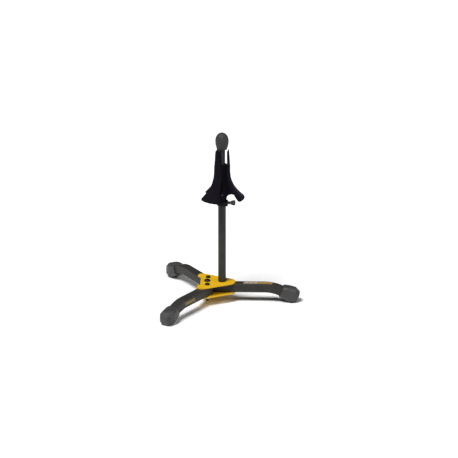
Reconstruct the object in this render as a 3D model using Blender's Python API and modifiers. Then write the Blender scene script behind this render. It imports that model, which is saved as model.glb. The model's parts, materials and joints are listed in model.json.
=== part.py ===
"""Folding tripod stand that holds a small wind instrument by its bell.

Two three-lobed plates clamp a fixed leg and carry two legs that fold. A tube post stands on the
plates. Its top carries a flared peg of three velvet petals, and a rod with a rubber head that
telescopes out of the post and is locked by a thumb screw.

Metres, +Z up, +X along the fixed leg. The origin is on the ground, at the middle of the stand's box.
"""
import math

import bmesh
import bpy
from mathutils import Matrix, Vector

MM = 0.001

# ---- Overall ----
LEGS_CENTRE_X = -39.0 * MM        # where the three legs' directions meet, from the box's middle
GAP = 0.3 * MM                    # clearance between touching pieces
ROUND_STEPS = 24

# ---- Legs ----
LEG_WIDTH = 18 * MM
LEG_DEPTH = 17.2 * MM
LEG_WALL = 1.5 * MM
LEG_CORNER = 1.8 * MM
LEG_MID_Z = 28.6 * MM             # height of the straight part's centreline
LEG_BEND_START = 102 * MM         # distance from the legs' centre to where the leg starts to bend
LEG_BEND_RADIUS = 80 * MM
LEG_BEND_DEG = 36
FIXED_LEG_START = -17 * MM
OPEN_ANGLE_DEG = 122              # each folding leg, from the fixed leg
PIVOT_X = -6.5 * MM
PIVOT_Y = 20.6 * MM
PIVOT_ALONG = 21 * MM             # the pivot's place along a folding leg, in the fixed leg's measure
PIVOT_TO_END = 6.5 * MM

# ---- Plates ----
PLATE_THICKNESS = 2.0 * MM
PLATE_GAP = 0.35 * MM
NOSE_CENTRE_X = 30 * MM
NOSE_RADIUS = 17 * MM
LOBE_CENTRE = (-17 * MM, 33.5 * MM)
LOBE_RADIUS = 9.5 * MM
NOTCH_X = -20 * MM
NOTCH_HALF = 21.5 * MM
LOBE_INNER_DEG = 217

# ---- Fasteners ----
BOLT_RADIUS = 3.0 * MM
SLEEVE_RADIUS = 4.3 * MM
CENTRE_BOLT_X = -7.4 * MM
POST_X = 21 * MM

# ---- Post, collar and thumb screw ----
POST_RADIUS = 7.5 * MM
POST_BORE = 6.3 * MM
POST_TOP_Z = 230 * MM
COLLAR_LOW_Z = 194.7 * MM
COLLAR_TOP_Z = 203.0 * MM
COLLAR_RADIUS = 10.0 * MM
BOSS_REACH = 11.4 * MM
SCREW_Z = 199.2 * MM
SCREW_RADIUS = 2.5 * MM
SCREW_END = 25.8 * MM

# ---- Peg ----
HUB_LOW_Z = COLLAR_TOP_Z + GAP
HUB_TOP_Z = 277 * MM
HUB_RADIUS = 10.0 * MM
HUB_FOOT_RADIUS = 8.7 * MM
HUB_SCREW_Z = 218 * MM
PETAL_THICKNESS = 3.0 * MM
PETAL_SWEEP_DEG = 80
PETAL_PROFILE = (                 # outer radius, height and half angle, from the finger's tip to the foot
    (13.4, 306.5, 30), (14.0, 299, 33), (14.7, 289, 33), (15.2, 281, 33), (15.4, 278, 34),
    (15.6, 275.5, 37), (15.8, 272, 40), (15.8, 264, 40), (16.2, 257, 40), (17.0, 251, 39),
    (18.8, 245, 36), (21.1, 239, 32), (24.2, 233, 31), (28.6, 226.8, 31), (33.8, 220.7, 32),
    (39.6, 214.8, 32), (42.6, 212.0, 32), (44.2, 210.6, 30),
)
PETAL_ANGLES = {"petal_right": -8.5, "petal_front": -128.5, "petal_rear": 111.5}
WEB_THICKNESS = 3.0 * MM

# ---- Head ----
ROD_RADIUS = 6.0 * MM
ROD_BORE = 4.8 * MM
ROD_LOW_Z = 138 * MM
ROD_TOP_Z = 322 * MM
HEAD_LOW_Z = 306.8 * MM
HEAD_PROFILE = (                  # radius and height, from the top down
    (0, 340), (4.2, 339.1), (8.2, 336.2), (11.0, 332.2), (12.5, 327.6), (12.85, 323),
    (12.5, 318.5), (11.6, 313.8), (10.5, 309.8), (9.4, 307.3), (8.7, 306.8),
)

TOP_PLATE_Z = LEG_MID_Z + LEG_DEPTH / 2 + PLATE_GAP
BOTTOM_PLATE_Z = LEG_MID_Z - LEG_DEPTH / 2 - PLATE_GAP - PLATE_THICKNESS
PLATE_TOP_Z = TOP_PLATE_Z + PLATE_THICKNESS
POST_LOW_Z = PLATE_TOP_Z + GAP
NUT_LOW_Z = BOTTOM_PLATE_Z - 10.4 * MM


# ---- Scene and materials ----

def clear_scene():
    for obj in list(bpy.data.objects):
        bpy.data.objects.remove(obj, do_unlink=True)


def make_collection(name):
    collection = bpy.data.collections.new(name)
    bpy.context.scene.collection.children.link(collection)
    return collection


def make_material(name, colour, roughness, metallic=0.0):
    material = bpy.data.materials.new(name)
    material.use_nodes = True
    shader = material.node_tree.nodes["Principled BSDF"]
    shader.inputs["Base Color"].default_value = (*colour, 1.0)
    shader.inputs["Roughness"].default_value = roughness
    shader.inputs["Metallic"].default_value = metallic
    material.diffuse_color = (*colour, 1.0)
    return material


clear_scene()
PARTS = make_collection("trumpet_stand")
CUTTERS = make_collection("cutters")
YELLOW_PAINT = (0.78, 0.52, 0.03)
CHARCOAL = (0.035, 0.034, 0.036)
RUBBER_GREY = (0.055, 0.055, 0.058)
VELVET_BLACK = (0.010, 0.009, 0.014)
STEEL = (0.42, 0.43, 0.45)
BLACK_STEEL = (0.03, 0.03, 0.032)
BRASS = (0.62, 0.46, 0.20)
NYLON = (0.75, 0.74, 0.70)
DARK_NYLON = (0.05, 0.055, 0.05)


def add_part(obj, name, colour, roughness, metallic=0.0):
    obj.name = name
    obj.data.materials.clear()
    obj.data.materials.append(make_material(name, colour, roughness, metallic))
    PARTS.objects.link(obj)
    return obj


def add_cutter(obj, name):
    obj.name = name
    obj.hide_render = True
    obj.display_type = "WIRE"
    CUTTERS.objects.link(obj)
    return obj


# ---- Shapes ----

def object_from_bmesh(bm, name):
    bmesh.ops.recalc_face_normals(bm, faces=bm.faces)
    mesh = bpy.data.meshes.new(name)
    bm.to_mesh(mesh)
    bm.free()
    return bpy.data.objects.new(name, mesh)


def cylinder(name, radius, low, high, centre=(0, 0), top_radius=None, steps=ROUND_STEPS):
    """A solid cylinder or cone on a vertical axis."""
    bm = bmesh.new()
    bmesh.ops.create_cone(
        bm, cap_ends=True, segments=steps, radius1=radius,
        radius2=radius if top_radius is None else top_radius, depth=high - low)
    bmesh.ops.translate(bm, vec=(centre[0], centre[1], (low + high) / 2), verts=bm.verts)
    return object_from_bmesh(bm, name)


def cylinder_along_x(name, radius, start, end, centre, steps=ROUND_STEPS):
    """A solid cylinder from start to end along X, at (y, z) = centre."""
    bm = bmesh.new()
    bmesh.ops.create_cone(
        bm, cap_ends=True, segments=steps, radius1=radius, radius2=radius, depth=end - start)
    bmesh.ops.rotate(bm, cent=(0, 0, 0), matrix=Matrix.Rotation(math.pi / 2, 3, "Y"), verts=bm.verts)
    bmesh.ops.translate(bm, vec=((start + end) / 2, *centre), verts=bm.verts)
    return object_from_bmesh(bm, name)


def box(name, low, high):
    bm = bmesh.new()
    bmesh.ops.create_cube(bm, size=1.0)
    size = [b - a for a, b in zip(low, high)]
    middle = [(a + b) / 2 for a, b in zip(low, high)]
    bmesh.ops.scale(bm, vec=size, verts=bm.verts)
    bmesh.ops.translate(bm, vec=middle, verts=bm.verts)
    return object_from_bmesh(bm, name)


def turned(name, profile, closed, steps=ROUND_STEPS, sweep_deg=360):
    """Turn a profile of (radius, height) points about Z. It runs down its outer side."""
    bm = bmesh.new()
    verts = [bm.verts.new((radius, 0, height)) for radius, height in profile]
    for first, second in zip(verts, verts[1:]):
        bm.edges.new((first, second))
    if closed:
        bm.edges.new((verts[-1], verts[0]))
    mesh = bpy.data.meshes.new(name)
    bm.to_mesh(mesh)
    bm.free()
    obj = bpy.data.objects.new(name, mesh)
    screw = obj.modifiers.new("turn", "SCREW")
    screw.axis = "Z"
    screw.angle = math.radians(sweep_deg)
    screw.steps = steps
    screw.render_steps = steps
    screw.use_merge_vertices = True
    screw.merge_threshold = 0.00002
    return obj


def tube(name, radius, bore, low, high, centre=(0, 0), chamfer=0.4 * MM):
    """A turned tube with a chamfered outer rim at each end."""
    profile = (
        (bore, high), (radius - chamfer, high), (radius, high - chamfer),
        (radius, low + chamfer), (radius - chamfer, low), (bore, low))
    obj = turned(name, profile, closed=True)
    obj.location = (centre[0], centre[1], 0)
    return obj


def flat_outline(name, points, thickness):
    """A flat plate in the XY plane from an outline, centred on z = 0, as a welded mesh."""
    curve = bpy.data.curves.new(name + "_outline", "CURVE")
    curve.dimensions = "2D"
    curve.fill_mode = "BOTH"
    curve.extrude = thickness / 2
    spline = curve.splines.new("POLY")
    spline.points.add(len(points) - 1)
    for point, (x, y) in zip(spline.points, points):
        point.co = (x, y, 0, 1)
    spline.use_cyclic_u = True
    guide = bpy.data.objects.new(name + "_outline", curve)
    CUTTERS.objects.link(guide)
    bpy.context.view_layer.update()
    depsgraph = bpy.context.evaluated_depsgraph_get()
    mesh = bpy.data.meshes.new_from_object(guide.evaluated_get(depsgraph))
    bm = bmesh.new()
    bm.from_mesh(mesh)
    bmesh.ops.remove_doubles(bm, verts=bm.verts, dist=0.000001)
    bmesh.ops.dissolve_limit(bm, angle_limit=0.001, verts=bm.verts, edges=bm.edges)
    bmesh.ops.recalc_face_normals(bm, faces=bm.faces)
    bm.to_mesh(mesh)
    bm.free()
    bpy.data.objects.remove(guide, do_unlink=True)
    return bpy.data.objects.new(name, mesh)


def stand_up(obj):
    """Turn a flat outline so that its second axis is world Z."""
    obj.data.transform(Matrix.Rotation(math.pi / 2, 4, "X"))
    return obj


def arc(centre, radius, start_deg, end_deg, count):
    """Points along an arc, both ends included."""
    angles = [math.radians(start_deg + (end_deg - start_deg) * i / count) for i in range(count + 1)]
    return [(centre[0] + radius * math.cos(a), centre[1] + radius * math.sin(a)) for a in angles]


def cut(obj, cutter, operation="DIFFERENCE"):
    modifier = obj.modifiers.new(operation.lower(), "BOOLEAN")
    modifier.operation = operation
    modifier.solver = "EXACT"
    modifier.object = cutter


def soften(obj, width, segments=2, angle_deg=35):
    modifier = obj.modifiers.new("soften", "BEVEL")
    modifier.width = width
    modifier.segments = segments
    modifier.limit_method = "ANGLE"
    modifier.angle_limit = math.radians(angle_deg)


def shade_round(obj, angle_deg=30):
    obj.data.shade_smooth()
    obj.data.set_sharp_from_angle(angle=math.radians(angle_deg))


def make_pivot(name, x, y, turn_deg=0.0):
    empty = bpy.data.objects.new(name, None)
    empty.location = (LEGS_CENTRE_X + x, y, 0)
    empty.rotation_euler = (0, 0, math.radians(turn_deg))
    PARTS.objects.link(empty)
    return empty


def put_on(parent, *objects):
    for obj in objects:
        obj.parent = parent


# ---- Legs and boots ----

def leg_side(start, end_deg, inset, shift):
    """A leg's side view: straight, then bent down. Inset shrinks its depth on both sides."""
    half = LEG_DEPTH / 2 - inset
    bend_centre = (LEG_BEND_START - shift, LEG_MID_Z - LEG_BEND_RADIUS)
    top = arc(bend_centre, LEG_BEND_RADIUS + half, 90, 90 - end_deg, 9)
    bottom = arc(bend_centre, LEG_BEND_RADIUS - half, 90 - end_deg, 90, 9)
    return [(start - shift, LEG_MID_Z + half), *top, *bottom, (start - shift, LEG_MID_Z - half)]


def leg_bar(name, start, end_deg, inset, shift, corner):
    bar = stand_up(flat_outline(name, leg_side(start, end_deg, inset, shift), LEG_WIDTH - 2 * inset))
    soften(bar, corner)
    return bar


def make_leg(name, start, shift, holes, parent):
    """A bent box tube, open at both ends, drilled through for its fasteners."""
    leg = add_part(leg_bar(name, start, LEG_BEND_DEG, 0, shift, LEG_CORNER), name, CHARCOAL, 0.5, 0.3)
    hollow = leg_bar(name + "_hollow", start - 3 * MM, LEG_BEND_DEG + 2, LEG_WALL, shift, 0.8 * MM)
    cut(leg, add_cutter(hollow, name + "_hollow"))
    put_on(parent, leg, hollow)
    for index, x in enumerate(holes):
        hole_name = f"{name}_hole_{index + 1}"
        hole = cylinder(
            hole_name, SLEEVE_RADIUS + GAP, LEG_MID_Z - LEG_DEPTH, LEG_MID_Z + LEG_DEPTH, (x, 0))
        cut(leg, add_cutter(hole, hole_name))
        put_on(parent, hole)
    return leg


def boot_section(top, bottom, half_width, chamfer):
    """Eight points of a section with cut corners, between a top and a bottom point in side view."""
    top = Vector((top[0], 0, top[1])) * MM
    bottom = Vector((bottom[0], 0, bottom[1])) * MM
    inset = chamfer / (top - bottom).length * MM
    steps = ((0, 1), (inset, 0), (1 - inset, 0), (1, 1))
    side = [(top.lerp(bottom, t), half_width - chamfer * at_edge) for t, at_edge in steps]
    right = [point + Vector((0, -width * MM, 0)) for point, width in side]
    left = [point + Vector((0, width * MM, 0)) for point, width in reversed(side)]
    return right + left


BOOT_SECTIONS = (                 # top, bottom (distance out, height), half width and corner, in mm
    ((140.0, 31.0), (131.0, 12.0), 11.6, 3.0),
    ((147.0, 30.4), (139.5, 7.0), 13.2, 4.4),
    ((155.0, 29.2), (151.0, 0.0), 14.0, 6.0),
    ((163.4, 27.0), (164.4, 0.0), 12.4, 6.0),
    ((171.0, 19.0), (170.6, 15.0), 7.6, 1.2),
)


def make_boot(name, shift, parent):
    """A faceted rubber boot, lofted between sections, with a flat sole and a socket for the leg."""
    bm = bmesh.new()
    rings = []
    for section in BOOT_SECTIONS:
        rings.append([bm.verts.new(p - Vector((shift, 0, 0))) for p in boot_section(*section)])
    for lower, upper in zip(rings, rings[1:]):
        for i in range(len(lower)):
            j = (i + 1) % len(lower)
            bm.faces.new((lower[i], lower[j], upper[j], upper[i]))
    bm.faces.new(rings[0])
    bm.faces.new(rings[-1])
    boot = add_part(object_from_bmesh(bm, name), name, RUBBER_GREY, 0.7)
    socket_deg = LEG_BEND_DEG + math.degrees(GAP / LEG_BEND_RADIUS)
    socket = leg_bar(name + "_socket", LEG_BEND_START - 10 * MM, socket_deg, -GAP, shift, LEG_CORNER)
    cut(boot, add_cutter(socket, name + "_socket"))
    put_on(parent, boot, socket)
    return boot


# ---- Plates ----

def plate_outline():
    """Three lobes joined by straight sides, with a shallow notch between the two rear lobes."""
    away = Vector(LOBE_CENTRE) - Vector((NOSE_CENTRE_X, 0))
    lean = math.degrees(math.acos((NOSE_RADIUS - LOBE_RADIUS) / away.length))
    tangent = math.degrees(math.atan2(away.y, away.x)) - lean
    nose = arc((NOSE_CENTRE_X, 0), NOSE_RADIUS, -tangent, tangent, 14)
    lobe = arc(LOBE_CENTRE, LOBE_RADIUS, tangent, LOBE_INNER_DEG, 12)
    upper = lobe + [(NOTCH_X - 1.2 * MM, NOTCH_HALF + 2.6 * MM), (NOTCH_X, NOTCH_HALF)]
    lower = [(x, -y) for x, y in reversed(upper)]
    return nose + upper + lower


def make_plate(name, low_z, hub):
    plate = add_part(flat_outline(name, plate_outline(), PLATE_THICKNESS), name, YELLOW_PAINT, 0.35)
    plate.location = (0, 0, low_z + PLATE_THICKNESS / 2)
    soften(plate, 0.4 * MM, segments=1, angle_deg=50)
    put_on(hub, plate)
    places = ((PIVOT_X, PIVOT_Y), (PIVOT_X, -PIVOT_Y), (CENTRE_BOLT_X, 0), (POST_X, 0))
    for index, place in enumerate(places):
        hole_name = f"{name}_hole_{index + 1}"
        hole = cylinder(
            hole_name, BOLT_RADIUS + GAP, low_z - PLATE_THICKNESS, low_z + 2 * PLATE_THICKNESS, place)
        cut(plate, add_cutter(hole, hole_name))
        put_on(hub, hole)
    return plate


# ---- Fasteners ----

def make_bolt(name, place, head_radius, head_height, low_z, hub):
    """A button-head bolt through both plates, with a hexagon socket in its head."""
    seat = PLATE_TOP_Z + GAP
    profile = (
        (0, seat + head_height), (head_radius * 0.62, seat + head_height),
        (head_radius * 0.9, seat + head_height * 0.62), (head_radius, seat + head_height * 0.2),
        (head_radius, seat), (BOLT_RADIUS, seat), (BOLT_RADIUS, low_z + 0.6 * MM),
        (BOLT_RADIUS - 0.6 * MM, low_z), (0, low_z))
    bolt = add_part(turned(name, profile, closed=False), name, BLACK_STEEL, 0.35, 0.8)
    bolt.location = (*place, 0)
    socket = cylinder(
        name + "_socket", head_radius * 0.42, seat + head_height * 0.3, seat + head_height + MM,
        place, steps=6)
    cut(bolt, add_cutter(socket, name + "_socket"))
    put_on(hub, bolt, socket)
    return bolt


def make_nut(name, place, height, across, hub):
    """A hexagon lock nut under the bottom plate, with a rounded collar below it."""
    high = BOTTOM_PLATE_Z - GAP
    collar = height * 0.3
    nut = cylinder(name, across / math.sqrt(3), high - height + collar, high, place, steps=6)
    add_part(nut, name, STEEL, 0.3, 0.9)
    soften(nut, 0.4 * MM, segments=1)
    ring = cylinder(
        name + "_collar", across * 0.42, high - height, high - height + 2 * collar, place)
    cut(nut, add_cutter(ring, name + "_collar"), "UNION")
    bore = cylinder(name + "_bore", BOLT_RADIUS + GAP, high - 2 * height, high + height, place)
    cut(nut, add_cutter(bore, name + "_bore"))
    put_on(hub, nut, ring, bore)
    return nut


def make_sleeve(name, place, hub):
    """A steel tube between the plates: a bush under a folding leg, a crush tube in the fixed leg."""
    sleeve = tube(
        name, SLEEVE_RADIUS, BOLT_RADIUS + GAP, BOTTOM_PLATE_Z + PLATE_THICKNESS + GAP,
        TOP_PLATE_Z - GAP, place, 0.3 * MM)
    add_part(sleeve, name, STEEL, 0.3, 0.9)
    put_on(hub, sleeve)
    return sleeve


def make_post_bolt(hub):
    """The bolt that comes up through the plates and the fixed leg into the post's plug."""
    washer_top = BOTTOM_PLATE_Z - GAP
    washer_low = washer_top - 1.2 * MM
    washer = tube(
        "post_washer", 7.5 * MM, BOLT_RADIUS + GAP, washer_low, washer_top, (POST_X, 0), 0.2 * MM)
    add_part(washer, "post_washer", STEEL, 0.3, 0.9)
    seat = washer_low - GAP
    low = seat - 4 * MM
    head = cylinder("post_bolt", 5.77 * MM, low, seat, (POST_X, 0), steps=6)
    add_part(head, "post_bolt", STEEL, 0.3, 0.9)
    soften(head, 0.3 * MM, segments=1)
    shank = cylinder("post_bolt_shank", BOLT_RADIUS, low + MM, POST_LOW_Z + 17 * MM, (POST_X, 0))
    cut(head, add_cutter(shank, "post_bolt_shank"), "UNION")
    put_on(hub, washer, head, shank)


# ---- Post, collar and thumb screw (in the post's own frame: its axis is the parent's Z) ----

def make_post(parent):
    post = tube("post", POST_RADIUS, POST_BORE, POST_LOW_Z, POST_TOP_Z, chamfer=0.5 * MM)
    add_part(post, "post", CHARCOAL, 0.45, 0.3)
    screw_hole = cylinder_along_x(
        "post_screw_hole", SCREW_RADIUS + GAP, 0, 2 * POST_RADIUS, (0, SCREW_Z))
    rivet_hole = cylinder_along_x(
        "post_hub_screw_hole", 1.5 * MM + GAP, 0, 2 * POST_RADIUS, (0, HUB_SCREW_Z), steps=16)
    rivet_hole.rotation_euler = (0, 0, math.radians(-88))
    cut(post, add_cutter(screw_hole, "post_screw_hole"))
    cut(post, add_cutter(rivet_hole, "post_hub_screw_hole"))
    plug = tube(
        "post_plug", POST_BORE - GAP, BOLT_RADIUS + GAP, POST_LOW_Z, POST_LOW_Z + 20 * MM,
        chamfer=0.5 * MM)
    add_part(plug, "post_plug", STEEL, 0.4, 0.8)
    put_on(parent, post, screw_hole, rivet_hole, plug)


def make_collar(parent):
    """The ring under the hub, with a square boss that holds the threaded insert."""
    bore = POST_RADIUS + GAP
    edge = 0.8 * MM
    profile = (
        (0, COLLAR_TOP_Z), (COLLAR_RADIUS - edge, COLLAR_TOP_Z), (COLLAR_RADIUS, COLLAR_TOP_Z - edge),
        (COLLAR_RADIUS, COLLAR_LOW_Z + edge), (COLLAR_RADIUS - edge, COLLAR_LOW_Z), (0, COLLAR_LOW_Z))
    collar = turned("clamp_collar", profile, closed=False)
    add_part(collar, "clamp_collar", BLACK_STEEL, 0.5)
    boss = box(
        "collar_boss", (3.4 * MM, -9.4 * MM, COLLAR_LOW_Z - 0.2 * MM),
        (BOSS_REACH, 9.4 * MM, COLLAR_TOP_Z - 0.1 * MM))
    soften(boss, 1.2 * MM)
    cut(collar, add_cutter(boss, "collar_boss"), "UNION")
    well = cylinder("collar_well", bore, COLLAR_LOW_Z - 5 * MM, COLLAR_TOP_Z + 5 * MM)
    cut(collar, add_cutter(well, "collar_well"))
    seat = cylinder_along_x("insert_seat", 3.4 * MM + GAP, 0, 2 * BOSS_REACH, (0, SCREW_Z))
    cut(collar, add_cutter(seat, "insert_seat"))
    insert = cylinder_along_x("screw_insert", 3.4 * MM, bore + GAP, BOSS_REACH, (0, SCREW_Z))
    add_part(insert, "screw_insert", BRASS, 0.3, 0.9)
    thread = cylinder_along_x("insert_thread", SCREW_RADIUS + GAP, 0, 2 * BOSS_REACH, (0, SCREW_Z))
    cut(insert, add_cutter(thread, "insert_thread"))
    put_on(parent, collar, boss, well, seat, insert, thread)


def make_thumb_screw(parent):
    """A thumb screw with a fan-shaped grip, and the pad between its tip and the rod."""
    pad_end = POST_BORE + 1.6 * MM
    pad = cylinder_along_x("clamp_pad", 2.3 * MM, POST_BORE, pad_end, (0, SCREW_Z))
    add_part(pad, "clamp_pad", NYLON, 0.5)
    tip = pad_end + GAP
    screw = cylinder_along_x("thumb_screw", SCREW_RADIUS, tip, SCREW_END - 6 * MM, (0, SCREW_Z))
    add_part(screw, "thumb_screw", DARK_NYLON, 0.45)
    fan_start = SCREW_END - 9.5 * MM
    tip_rim = arc((SCREW_END - 8 * MM, 0), 8 * MM, -40, 40, 6)
    fan = [(fan_start, 2.4 * MM), *reversed(tip_rim), (fan_start, -2.4 * MM)]
    grip = stand_up(flat_outline("thumb_grip", fan, 4.6 * MM))
    grip.data.transform(Matrix.Translation((0, 0, SCREW_Z)))
    soften(grip, 0.8 * MM)
    cut(screw, add_cutter(grip, "thumb_grip"), "UNION")
    flange = cylinder_along_x(
        "thumb_flange", 3.8 * MM, BOSS_REACH + 1.2 * MM, BOSS_REACH + 2.6 * MM, (0, SCREW_Z))
    cut(screw, add_cutter(flange, "thumb_flange"), "UNION")
    put_on(parent, pad, screw, grip, flange)


# ---- Peg ----

def make_hub(parent):
    """The peg's middle tube: a wide bore over the post, and a narrow one that guides the rod."""
    step_z = POST_TOP_Z + GAP
    profile = (
        (ROD_RADIUS + GAP, HUB_TOP_Z), (HUB_RADIUS - MM, HUB_TOP_Z), (HUB_RADIUS, HUB_TOP_Z - MM),
        (HUB_RADIUS, 214 * MM), (HUB_FOOT_RADIUS, 206 * MM), (HUB_FOOT_RADIUS, HUB_LOW_Z),
        (POST_RADIUS + GAP, HUB_LOW_Z), (POST_RADIUS + GAP, step_z), (ROD_RADIUS + GAP, step_z))
    hub = add_part(turned("peg_hub", profile, closed=True), "peg_hub", VELVET_BLACK, 0.9)
    hole = cylinder_along_x(
        "hub_screw_hole", 1.5 * MM + GAP, 0, 2 * HUB_RADIUS, (0, HUB_SCREW_Z), steps=16)
    hole.rotation_euler = (0, 0, math.radians(-88))
    cut(hub, add_cutter(hole, "hub_screw_hole"))
    tip = ROD_RADIUS + 2 * GAP
    seat = HUB_RADIUS + GAP
    head = seat + 1.6 * MM
    profile = (
        (0, head), (1.4 * MM, head), (2.3 * MM, head - 0.6 * MM), (2.6 * MM, seat),
        (1.5 * MM, seat), (1.5 * MM, tip), (0, tip))
    screw = add_part(turned("hub_screw", profile, closed=False, steps=16), "hub_screw", STEEL, 0.3, 0.9)
    screw.rotation_euler = (0, math.pi / 2, math.radians(-88))
    screw.location = (0, 0, HUB_SCREW_Z)
    put_on(parent, hub, hole, screw)


def web_outline():
    """A petal's web, in (radius, height): up the hub, down inside the petal, and an arch below."""
    down_petal = [
        ((radius - 1.6) * MM, height * MM)
        for radius, height, half_deg in PETAL_PROFILE if 214 < height < 276]
    arch = arc((19 * MM, 206 * MM), 11 * MM, 42, 138, 8)
    hub_side = HUB_RADIUS + GAP
    return [*down_petal, *arch, (hub_side, 210.5 * MM), (hub_side, 270 * MM)]


def half_angle_at(height):
    """Half of the angle that a petal covers at a height, in radians."""
    for (_, high, deg_high), (_, low, deg_low) in zip(PETAL_PROFILE, PETAL_PROFILE[1:]):
        if height >= low * MM - 1e-6:
            share = (high * MM - height) / ((high - low) * MM)
            return math.radians(deg_high + share * (deg_low - deg_high))
    return math.radians(PETAL_PROFILE[-1][2])


def trim_to_leaf(petal):
    """Apply an evenly swept petal's sweep, then draw each row in to the leaf's width there."""
    CUTTERS.objects.link(petal)
    bpy.context.view_layer.update()
    depsgraph = bpy.context.evaluated_depsgraph_get()
    mesh = bpy.data.meshes.new_from_object(petal.evaluated_get(depsgraph))
    CUTTERS.objects.unlink(petal)
    petal.modifiers.clear()
    petal.data = mesh
    for vertex in mesh.vertices:
        x, y, z = vertex.co
        share = math.atan2(y, x) / math.radians(PETAL_SWEEP_DEG / 2)
        angle = share * half_angle_at(z)
        radius = math.hypot(x, y)
        vertex.co = (radius * math.cos(angle), radius * math.sin(angle), z)


def make_petal(name, angle_deg, parent):
    """A leaf of a bell-shaped shell, thickened inward and joined to its radial web."""
    profile = [(radius * MM, height * MM) for radius, height, half_deg in PETAL_PROFILE]
    petal = turned(name, profile, closed=False, steps=8, sweep_deg=PETAL_SWEEP_DEG)
    petal.data.transform(Matrix.Rotation(math.radians(-PETAL_SWEEP_DEG / 2), 4, "Z"))
    trim_to_leaf(petal)
    add_part(petal, name, VELVET_BLACK, 0.95)
    shell = petal.modifiers.new("thickness", "SOLIDIFY")
    shell.thickness = PETAL_THICKNESS
    shell.offset = -1
    shell.use_even_offset = True
    soften(petal, 0.9 * MM, segments=1, angle_deg=60)
    web = add_cutter(stand_up(flat_outline(name + "_web", web_outline(), WEB_THICKNESS)), name + "_web")
    cut(petal, web, "UNION")
    for obj in (petal, web):
        obj.rotation_euler = (0, 0, math.radians(angle_deg))
    put_on(parent, petal, web)


# ---- Head ----

def make_head(parent):
    """The rod that telescopes in the post, and the egg-shaped rubber head pressed onto it."""
    rod = tube("head_rod", ROD_RADIUS, ROD_BORE, ROD_LOW_Z, ROD_TOP_Z, chamfer=0.5 * MM)
    add_part(rod, "head_rod", RUBBER_GREY, 0.45, 0.3)
    outside = [(radius * MM, height * MM) for radius, height in HEAD_PROFILE]
    bore = ROD_RADIUS + GAP
    inside = [(bore, HEAD_LOW_Z), (bore, ROD_TOP_Z + GAP), (0, ROD_TOP_Z + GAP)]
    head = add_part(turned("rubber_head", outside + inside, closed=False), "rubber_head",
                    RUBBER_GREY, 0.6)
    put_on(parent, rod, head)


# ---- Assembly ----

def build():
    centre = make_pivot("legs_centre", 0, 0)
    front = make_pivot("front_leg_pivot", PIVOT_X, -PIVOT_Y, -OPEN_ANGLE_DEG)
    rear = make_pivot("rear_leg_pivot", PIVOT_X, PIVOT_Y, OPEN_ANGLE_DEG)
    post_axis = make_pivot("post_axis", POST_X, 0)

    make_plate("top_plate", TOP_PLATE_Z, centre)
    make_plate("bottom_plate", BOTTOM_PLATE_Z, centre)
    make_leg("fixed_leg", FIXED_LEG_START, 0, (CENTRE_BOLT_X, POST_X), centre)
    make_boot("fixed_leg_boot", 0, centre)
    for side, pivot in (("front", front), ("rear", rear)):
        make_leg(f"{side}_leg", PIVOT_ALONG - PIVOT_TO_END, PIVOT_ALONG, (0,), pivot)
        make_boot(f"{side}_leg_boot", PIVOT_ALONG, pivot)

    for side, y in (("front", -PIVOT_Y), ("rear", PIVOT_Y)):
        place = (PIVOT_X, y)
        make_bolt(f"{side}_pivot_bolt", place, 4.75 * MM, 2.8 * MM, NUT_LOW_Z, centre)
        make_nut(f"{side}_pivot_nut", place, 6 * MM, 10 * MM, centre)
        make_sleeve(f"{side}_pivot_sleeve", place, centre)
    make_bolt("centre_bolt", (CENTRE_BOLT_X, 0), 6.0 * MM, 3.2 * MM, NUT_LOW_Z + MM, centre)
    make_nut("centre_nut", (CENTRE_BOLT_X, 0), 6 * MM, 10 * MM, centre)
    make_sleeve("centre_sleeve", (CENTRE_BOLT_X, 0), centre)
    make_sleeve("post_sleeve", (POST_X, 0), centre)
    make_post_bolt(centre)

    make_post(post_axis)
    make_collar(post_axis)
    make_thumb_screw(post_axis)
    make_hub(post_axis)
    for name, angle in PETAL_ANGLES.items():
        make_petal(name, angle, post_axis)
    make_head(post_axis)
    for obj in PARTS.objects:
        if obj.type == "MESH":
            shade_round(obj)


build()
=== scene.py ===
"""The looks of the folding peg stand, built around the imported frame. Metres, +Z up."""
import json
import math

import bmesh
import bpy
from mathutils import Matrix, Vector, noise


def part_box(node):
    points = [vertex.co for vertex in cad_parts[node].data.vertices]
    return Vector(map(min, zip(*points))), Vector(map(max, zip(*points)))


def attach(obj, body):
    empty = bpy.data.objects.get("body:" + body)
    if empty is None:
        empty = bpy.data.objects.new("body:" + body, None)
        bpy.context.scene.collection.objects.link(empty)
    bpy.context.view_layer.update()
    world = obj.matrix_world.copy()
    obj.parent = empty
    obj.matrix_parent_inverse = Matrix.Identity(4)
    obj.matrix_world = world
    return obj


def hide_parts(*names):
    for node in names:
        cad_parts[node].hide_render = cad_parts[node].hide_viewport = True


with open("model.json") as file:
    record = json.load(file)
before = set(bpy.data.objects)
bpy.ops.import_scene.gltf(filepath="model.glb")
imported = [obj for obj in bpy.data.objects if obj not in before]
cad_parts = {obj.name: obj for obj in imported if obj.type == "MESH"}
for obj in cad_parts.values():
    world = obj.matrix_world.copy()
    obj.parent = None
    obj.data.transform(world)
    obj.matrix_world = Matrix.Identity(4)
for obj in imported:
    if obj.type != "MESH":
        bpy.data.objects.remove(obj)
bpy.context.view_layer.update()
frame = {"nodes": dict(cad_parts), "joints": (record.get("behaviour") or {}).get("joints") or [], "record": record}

MM = 0.001
JOINTS = {joint["name"]: joint for joint in frame["joints"]}
MOUNTS = {mount["name"]: mount for mount in frame["record"]["mounts"]}


# ---------------------------------------------------------------- places read from the frame

def middle(node):
    low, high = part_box(node)
    return (Vector(low) + Vector(high)) / 2


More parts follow.
